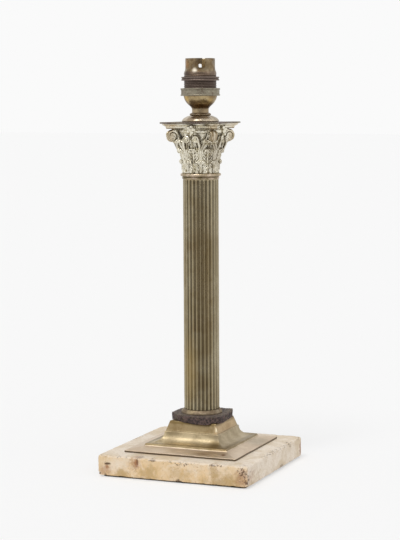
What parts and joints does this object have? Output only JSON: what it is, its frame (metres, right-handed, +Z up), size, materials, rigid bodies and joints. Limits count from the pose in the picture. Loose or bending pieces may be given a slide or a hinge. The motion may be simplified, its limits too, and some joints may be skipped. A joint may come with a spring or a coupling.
{
  "type": "column table lamp",
  "caption": "Table lamp: a fluted brass column with a leafed capital and stepped plinth on a square stone base, under a bayonet lampholder.",
  "frame": {"origin": "middle of the foot, on the surface the lamp stands on", "axes": "+Z up along the column; the stone's sides are square to X and Y, the lamp's front faces -Y and the flex leaves towards +Y"},
  "size_m": [0.138, 0.138, 0.358],
  "materials": {
    "baize": "napped cloth",
    "stone": "polished, with brown veins",
    "steel": "dull zinc",
    "rod_brass": "dull, threaded",
    "plinth_brass": "aged, rubbed bright on its edges",
    "spacer_rubber": "perished, rough",
    "foot_brass": "aged, pale",
    "column_brass": "aged olive brown, pale on the flutes' edges",
    "neck_brass": "aged, rubbed bright",
    "capital_brass": "pale, with dark hollows",
    "plate_brass": "aged",
    "bun_brass": "aged, rubbed bright",
    "lock_brass": "aged",
    "holder_brass": "aged, dark towards its foot",
    "ring_brass": "dull grey",
    "barrel_brass": "dark, mottled",
    "shade_ring_brass": "dark, worn",
    "porcelain": "glazed",
    "contact_brass": "bright"
  },
  "bodies": {
    "lamp": {"baize_pad": "baize", "stone_base": "stone", "bottom_washer": "steel", "bottom_nut": "steel", "tie_rod": "rod_brass", "plinth": "plinth_brass", "spacer": "spacer_rubber", "column_foot": "foot_brass", "column": "column_brass", "neck_ring": "neck_brass", "capital": "capital_brass", "top_plate": "plate_brass", "bun_cap": "bun_brass", "lock_ring": "lock_brass", "lampholder_cap": "holder_brass", "barrel": "barrel_brass", "insulator": "porcelain", "spring_left": "steel", "spring_right": "steel", "terminal_left": "contact_brass", "terminal_right": "contact_brass", "terminal_screws": "contact_brass"},
    "cap_ring": {"cap_ring": "ring_brass"},
    "shade_ring": {"shade_ring": "shade_ring_brass"},
    "plunger_left": {"plunger_left": "contact_brass"},
    "plunger_right": {"plunger_right": "contact_brass"}
  },
  "joints": [
    {"name": "cap_ring_turn", "type": "hinge", "parent": "lamp", "child": "cap_ring", "pos_m": [0, 0, 0.329], "axis": [0, 0, 1], "range_deg": [0, 1440]},
    {"name": "shade_ring_travel", "type": "slide", "parent": "lamp", "child": "shade_ring", "axis": [0, 0, 1], "range_m": [-0.0062, 0.0025]},
    {"name": "plunger_left_press", "type": "slide", "parent": "lamp", "child": "plunger_left", "axis": [0, 0, -1], "range_m": [0, 0.004], "stiffness_N_per_m": 600, "springref_m": -0.002, "deforming": ["spring_left"]},
    {"name": "plunger_right_press", "type": "slide", "parent": "lamp", "child": "plunger_right", "axis": [0, 0, -1], "range_m": [0, 0.004], "stiffness_N_per_m": 600, "springref_m": -0.002, "deforming": ["spring_right"]}
  ]
}
